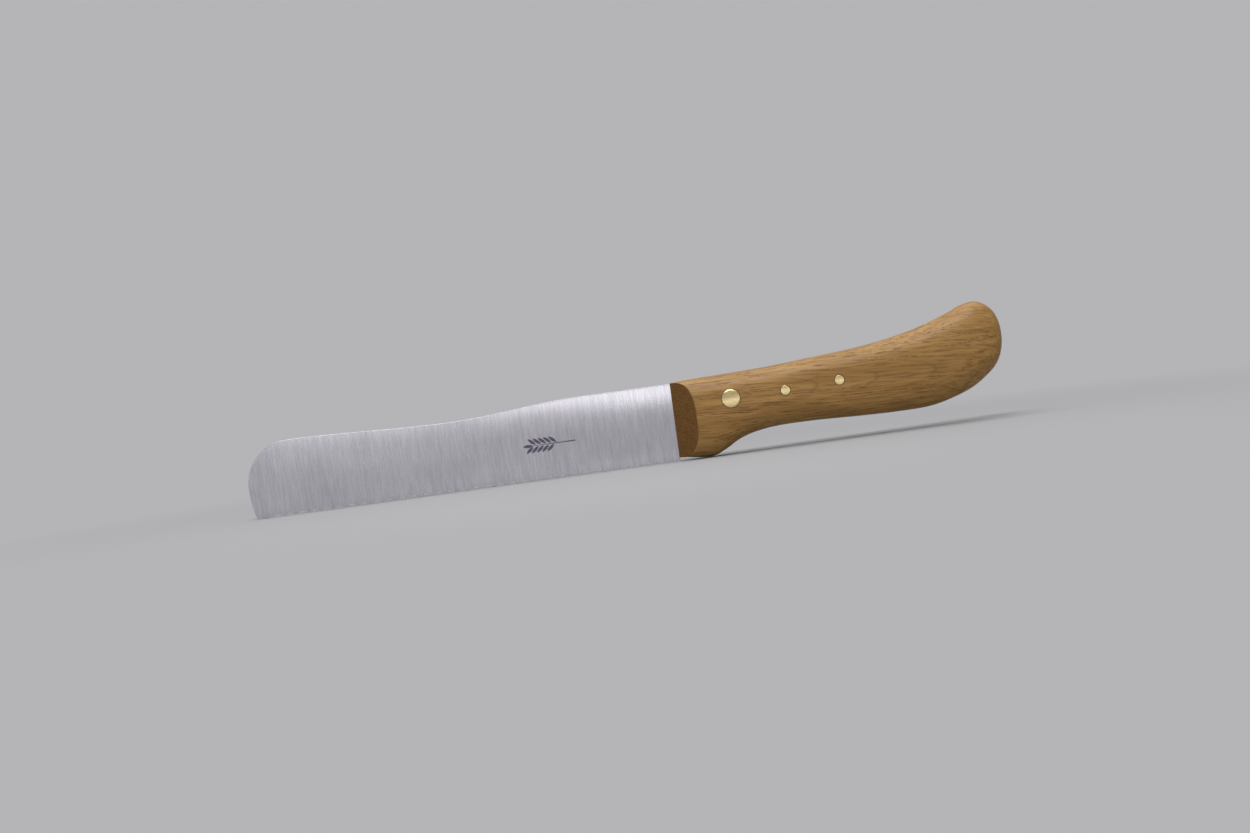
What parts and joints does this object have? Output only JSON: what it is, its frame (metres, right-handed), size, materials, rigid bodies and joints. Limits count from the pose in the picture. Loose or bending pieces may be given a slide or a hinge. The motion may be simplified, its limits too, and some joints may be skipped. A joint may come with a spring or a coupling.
{
  "type": "bread knife",
  "caption": "Bread knife with a satin blade, rounded nose and serrated edge, in a hooked oak handle with brass fastenings.",
  "frame": {"origin": "the heel of the blade: where the edge line meets the plane at which the blade enters the handle, in the middle of the blade's thickness", "axes": "+X along the edge line from the heel towards the butt of the handle, so the nose of the blade is at -X; +Z from the edge towards the back of the blade; +Y towards the right side of the knife, the side with the ground hollows"},
  "size_m": [0.3677, 0.0224, 0.0567],
  "materials": {
    "blade_steel": "satin, ground across the blade",
    "handle_wood": "oiled oak",
    "rivet_brass": "ground flush and lightly polished"
  },
  "bodies": {
    "root": {"blade": "blade_steel", "handle": "handle_wood", "front_rivet_female": "rivet_brass", "front_rivet_male": "rivet_brass", "middle_pin": "rivet_brass", "rear_pin": "rivet_brass"}
  },
  "joints": []
}
